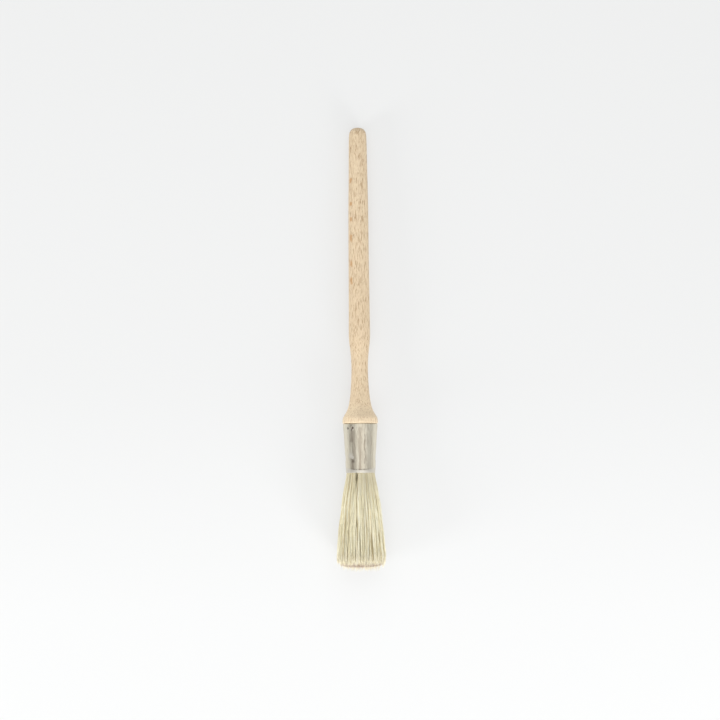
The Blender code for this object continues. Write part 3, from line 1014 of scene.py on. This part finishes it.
def bristle_material():
    """Pale hog bristle: each hair has its own tone and a duller tip, with painted shade by the mouth and a
    brown painted shade on the cut end.
    """
    material, tree, shader = new_material("pale_bristle", 0.42, specular=0.45)
    at = brush_coordinates(tree)
    mottle = stretched_noise(tree, at, (1.2, 0.12, 1.2), 2.0)
    tone = maths(tree, "ADD", point_value(tree, "tone"), remap(tree, mottle, 0.3, 0.7, -0.14, 0.14))
    ramp = add(tree, "ShaderNodeValToRGB", {"Fac": tone})
    stops = ramp.color_ramp.elements
    stops[0].position, stops[0].color = BRISTLE_TONES[0]
    stops[1].position, stops[1].color = BRISTLE_TONES[-1]
    for position, tone_colour in BRISTLE_TONES[1:-1]:
        stop = stops.new(position)
        stop.color = tone_colour
    # Painted shade on the bristles just beyond the ferrule's mouth.
    colour = overlay(tree, ramp.outputs["Color"], point_value(tree, "inside"), 0.5, BRISTLE_SHADE)
    colour = overlay(tree, colour, point_value(tree, "tip"), 0.55, BRISTLE_TIP)
    # Painted shade, brown, on the cut ends of the inner bristles, where the end of the tuft is in shade.
    end_shade_share = remap(tree, point_value(tree, "end_shade"), 0.2, 0.65, 0.0, 0.85, smooth=True)
    colour = mix(tree, end_shade_share, colour, BRISTLE_END_SHADE)
    tree.links.new(colour, shader.inputs["Base Color"])
    return material


# ---------------------------------------------------------------- studio
FLOOR_HALF = 12.0
FLOOR_DEEP = (0.265, 0.27, 0.27, 1.0)
FLOOR_PALE = (0.28, 0.285, 0.285, 1.0)
GLOW_AT_BUTT = (0.903, 0.9, 0.894, 1.0)
GLOW_AT_BRISTLES = (0.978, 0.975, 0.969, 1.0)
GLOW_STRENGTH = 0.61
SKY_COLOUR = (0.97, 0.985, 1.0, 1.0)
SKY_STRENGTH = 0.45
# Name, place and size in metres, power in watts and whether shiny surfaces mirror it.
SOFTBOXES = (
    ("key_front", (0.15, -0.9, 0.92), 2.0, 13.4, True),
    ("key_back", (0.0, 0.75, 1.15), 1.5, 6.5, True),
    ("low_left", (-0.95, -0.5, 0.35), 0.35, 6.1, False),
    ("low_right", (0.55, -0.85, 0.36), 0.35, 5.0, False),
)
CAMERA_ELEVATION = math.radians(87.0)
CAMERA_ROLL = math.radians(-0.52)
CAMERA_DISTANCE = 0.758
CAMERA_TARGET = (0.0002, -0.0082, 0.012)
CAMERA_SENSOR = 36.0
CAMERA_LENS = 67.2


def floor_material():
    """A white sweep that gives off a little light, more of it towards the bristles."""
    material, tree, shader = new_material("white_sweep", 0.7, specular=0.1)
    at = add(tree, "ShaderNodeTexCoord").outputs["Object"]
    haze = stretched_noise(tree, at, (1.5, 1.5, 1.5), 2.0)
    colour = mix(tree, haze, FLOOR_DEEP, FLOOR_PALE)
    tree.links.new(colour, shader.inputs["Base Color"])
    axes = add(tree, "ShaderNodeSeparateXYZ", {"Vector": at})
    towards_bristles = remap(tree, axes.outputs["Y"], -0.02, -0.15)
    glow = mix(tree, towards_bristles, GLOW_AT_BUTT, GLOW_AT_BRISTLES)
    tree.links.new(glow, shader.inputs["Emission Color"])
    shader.inputs["Emission Strength"].default_value = GLOW_STRENGTH
    return material


def build_floor():
    """The flat sweep that the brush lies on."""
    half = FLOOR_HALF
    corners = [(-half, -half, 0.0), (half, -half, 0.0), (half, half, 0.0), (-half, half, 0.0)]
    mesh = bpy.data.meshes.new("floor")
    mesh.from_pydata(corners, [], [(0, 1, 2, 3)])
    mesh.materials.append(floor_material())
    floor = bpy.data.objects.new("floor", mesh)
    bpy.context.scene.collection.objects.link(floor)


def softbox(name, location, size, power, glossy):
    """A square area light aimed at the middle of the brush."""
    light = bpy.data.lights.new(name, "AREA")
    light.shape = "SQUARE"
    light.size = size
    light.energy = power
    holder = bpy.data.objects.new(name, light)
    holder.location = location
    holder.rotation_mode = "QUATERNION"
    holder.rotation_quaternion = (-Vector(location)).to_track_quat("-Z", "Y")
    holder.visible_camera = False
    holder.visible_glossy = glossy
    bpy.context.scene.collection.objects.link(holder)


def build_light():
    """An even pale sky and the softboxes."""
    world = bpy.data.worlds.new("studio")
    bpy.context.scene.world = world
    world.use_nodes = True
    sky = world.node_tree.nodes["Background"]
    sky.inputs["Color"].default_value = SKY_COLOUR
    sky.inputs["Strength"].default_value = SKY_STRENGTH
    for name, location, size, power, glossy in SOFTBOXES:
        softbox(name, location, size, power, glossy)
    bpy.context.scene.view_settings.view_transform = "Standard"


def build_camera():
    """Nearly overhead, from the bristle end, a little rolled."""
    back = Vector((0.0, -math.cos(CAMERA_ELEVATION), math.sin(CAMERA_ELEVATION)))
    data = bpy.data.cameras.new("camera")
    data.sensor_width = CAMERA_SENSOR
    data.lens = CAMERA_LENS
    camera = bpy.data.objects.new("camera", data)
    camera.location = Vector(CAMERA_TARGET) + back * CAMERA_DISTANCE
    roll = Quaternion((0.0, 0.0, 1.0), CAMERA_ROLL)
    camera.rotation_mode = "QUATERNION"
    camera.rotation_quaternion = (-back).to_track_quat("-Z", "Y") @ roll
    bpy.context.scene.collection.objects.link(camera)
    bpy.context.scene.camera = camera


def main():
    """Build every piece and the studio."""
    build_handle(wood_material())
    build_ferrule(ferrule_material())
    build_tuft(bristle_material())
    plug = frame["nodes"]["resin_plug"]
    plug.data.materials.clear()
    plug.data.materials.append(resin_material())
    build_floor()
    build_light()
    build_camera()


main()
